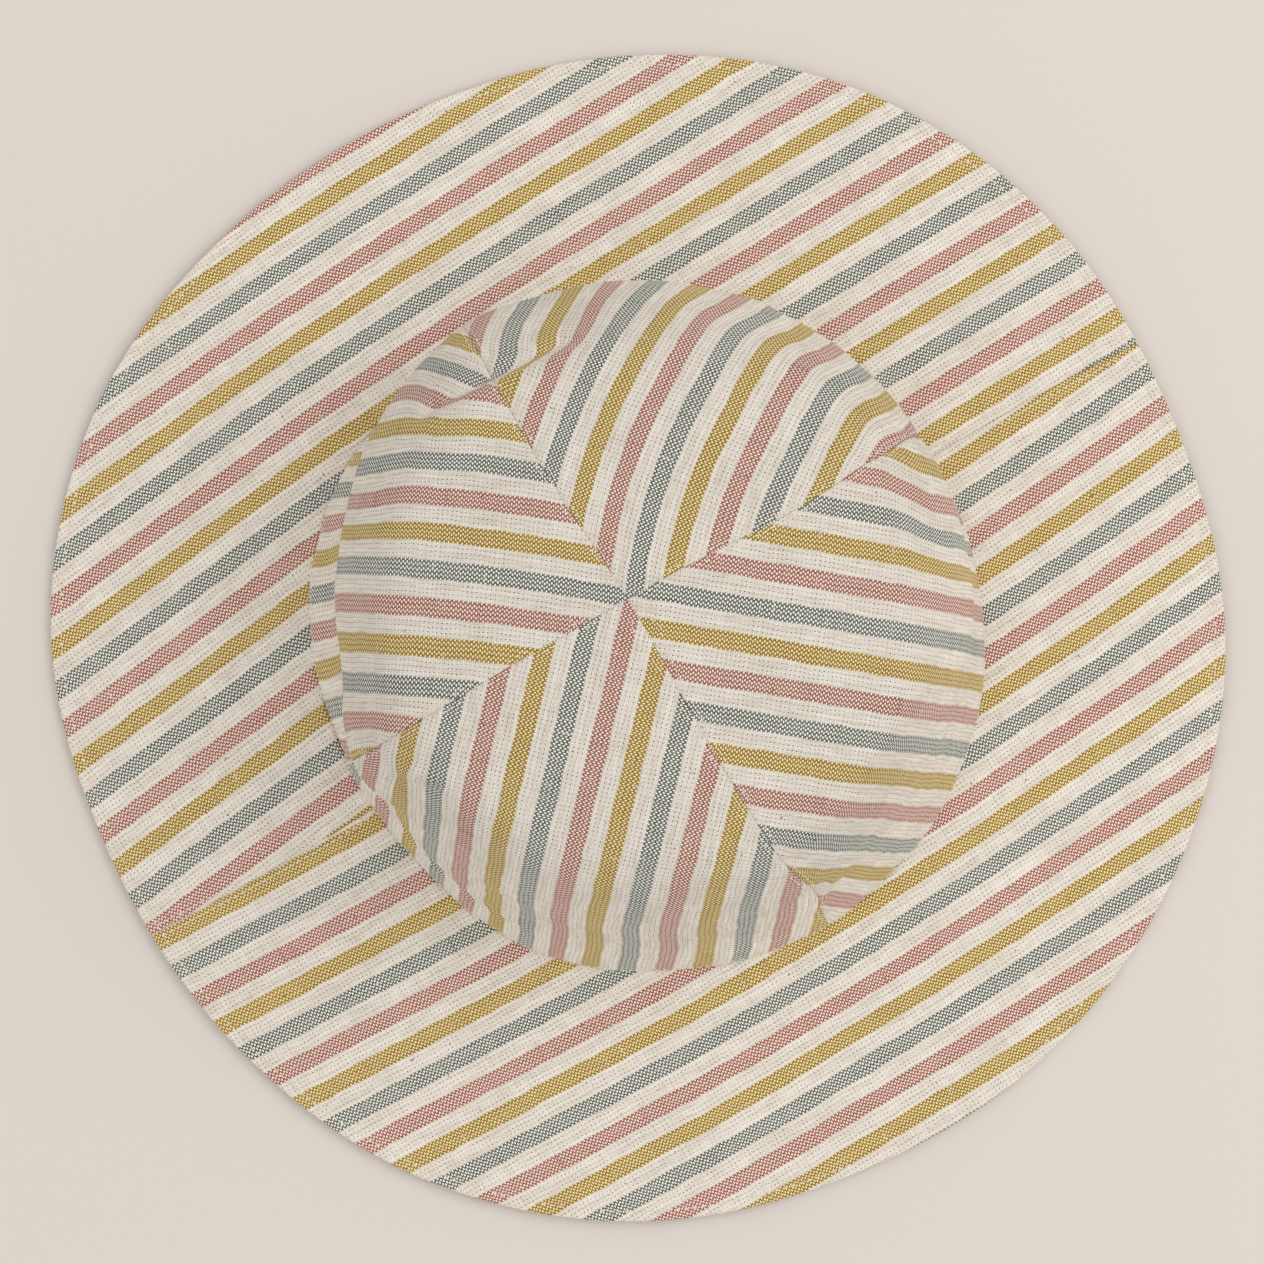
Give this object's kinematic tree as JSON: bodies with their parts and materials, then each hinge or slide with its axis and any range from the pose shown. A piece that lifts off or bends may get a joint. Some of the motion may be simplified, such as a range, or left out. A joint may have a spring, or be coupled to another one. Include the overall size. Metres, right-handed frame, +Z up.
{
  "type": "wide-brimmed sun hat",
  "caption": "Child's soft cotton sun hat: panelled crown, wide circular brim in striped cloth, cotton lining, sweatband, brim interlining and topstitched seams.",
  "frame": {"origin": "centre of the hat's bounding box at its bottom, on the surface that the brim's hem rests on", "axes": "+Z up through the crown; -Y towards the wearer's front; the brim's two seams lie on +X and -X and the crown's four seams on +X, +Y, -X and -Y"},
  "size_m": [0.292, 0.292, 0.0893],
  "materials": {
    "striped_cotton": "matte woven stripe",
    "lining_cotton": "matte plain weave",
    "sweatband_cotton": "matte twill",
    "interlining": "matte felted",
    "sewing_thread": "satin twisted thread"
  },
  "bodies": {
    "root": {"crown_panel_back_right": "striped_cotton", "crown_panel_back_left": "striped_cotton", "crown_panel_front_left": "striped_cotton", "crown_panel_front_right": "striped_cotton", "lining_panel_back_right": "lining_cotton", "lining_panel_back_left": "lining_cotton", "lining_panel_front_left": "lining_cotton", "lining_panel_front_right": "lining_cotton", "sweatband": "sweatband_cotton", "brim_under_back": "striped_cotton", "brim_under_front": "striped_cotton", "brim_interlining": "interlining", "brim_top_back": "striped_cotton", "brim_top_front": "striped_cotton", "brim_edge_stitching": "sewing_thread", "crown_base_stitching": "sewing_thread", "crown_side_seam_stitching": "sewing_thread", "crown_back_seam_stitching": "sewing_thread", "crown_front_seam_stitching": "sewing_thread", "brim_right_seam_stitching": "sewing_thread", "brim_left_seam_stitching": "sewing_thread"}
  },
  "joints": []
}
